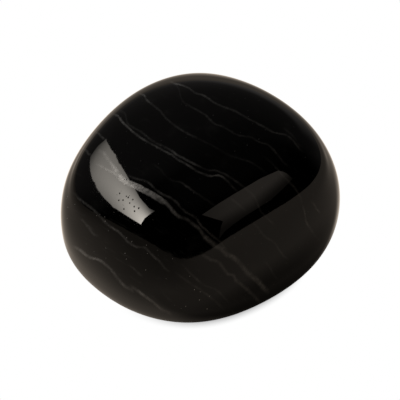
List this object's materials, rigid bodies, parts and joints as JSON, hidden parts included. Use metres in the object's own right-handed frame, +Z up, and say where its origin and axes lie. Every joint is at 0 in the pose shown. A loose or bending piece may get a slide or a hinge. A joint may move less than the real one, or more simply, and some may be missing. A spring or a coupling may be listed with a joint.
{
  "type": "tumbled onyx stone",
  "caption": "Polished tumbled pebble of black onyx, softly faceted with rounded edges, thin pale parallel veins and a worn flat to rest on.",
  "frame": {"origin": "middle of the bottom of the stone's bounding box, on the plane that it rests on", "axes": "+Z up, away from the flat it rests on; +X along its longest extent; +Y away from its broad front"},
  "size_m": [0.0304, 0.03, 0.0182],
  "materials": {
    "polished_onyx": "black, tumbled to a high gloss, with thin pale grey veins"
  },
  "bodies": {
    "root": {"onyx_stone": "polished_onyx"}
  },
  "joints": []
}
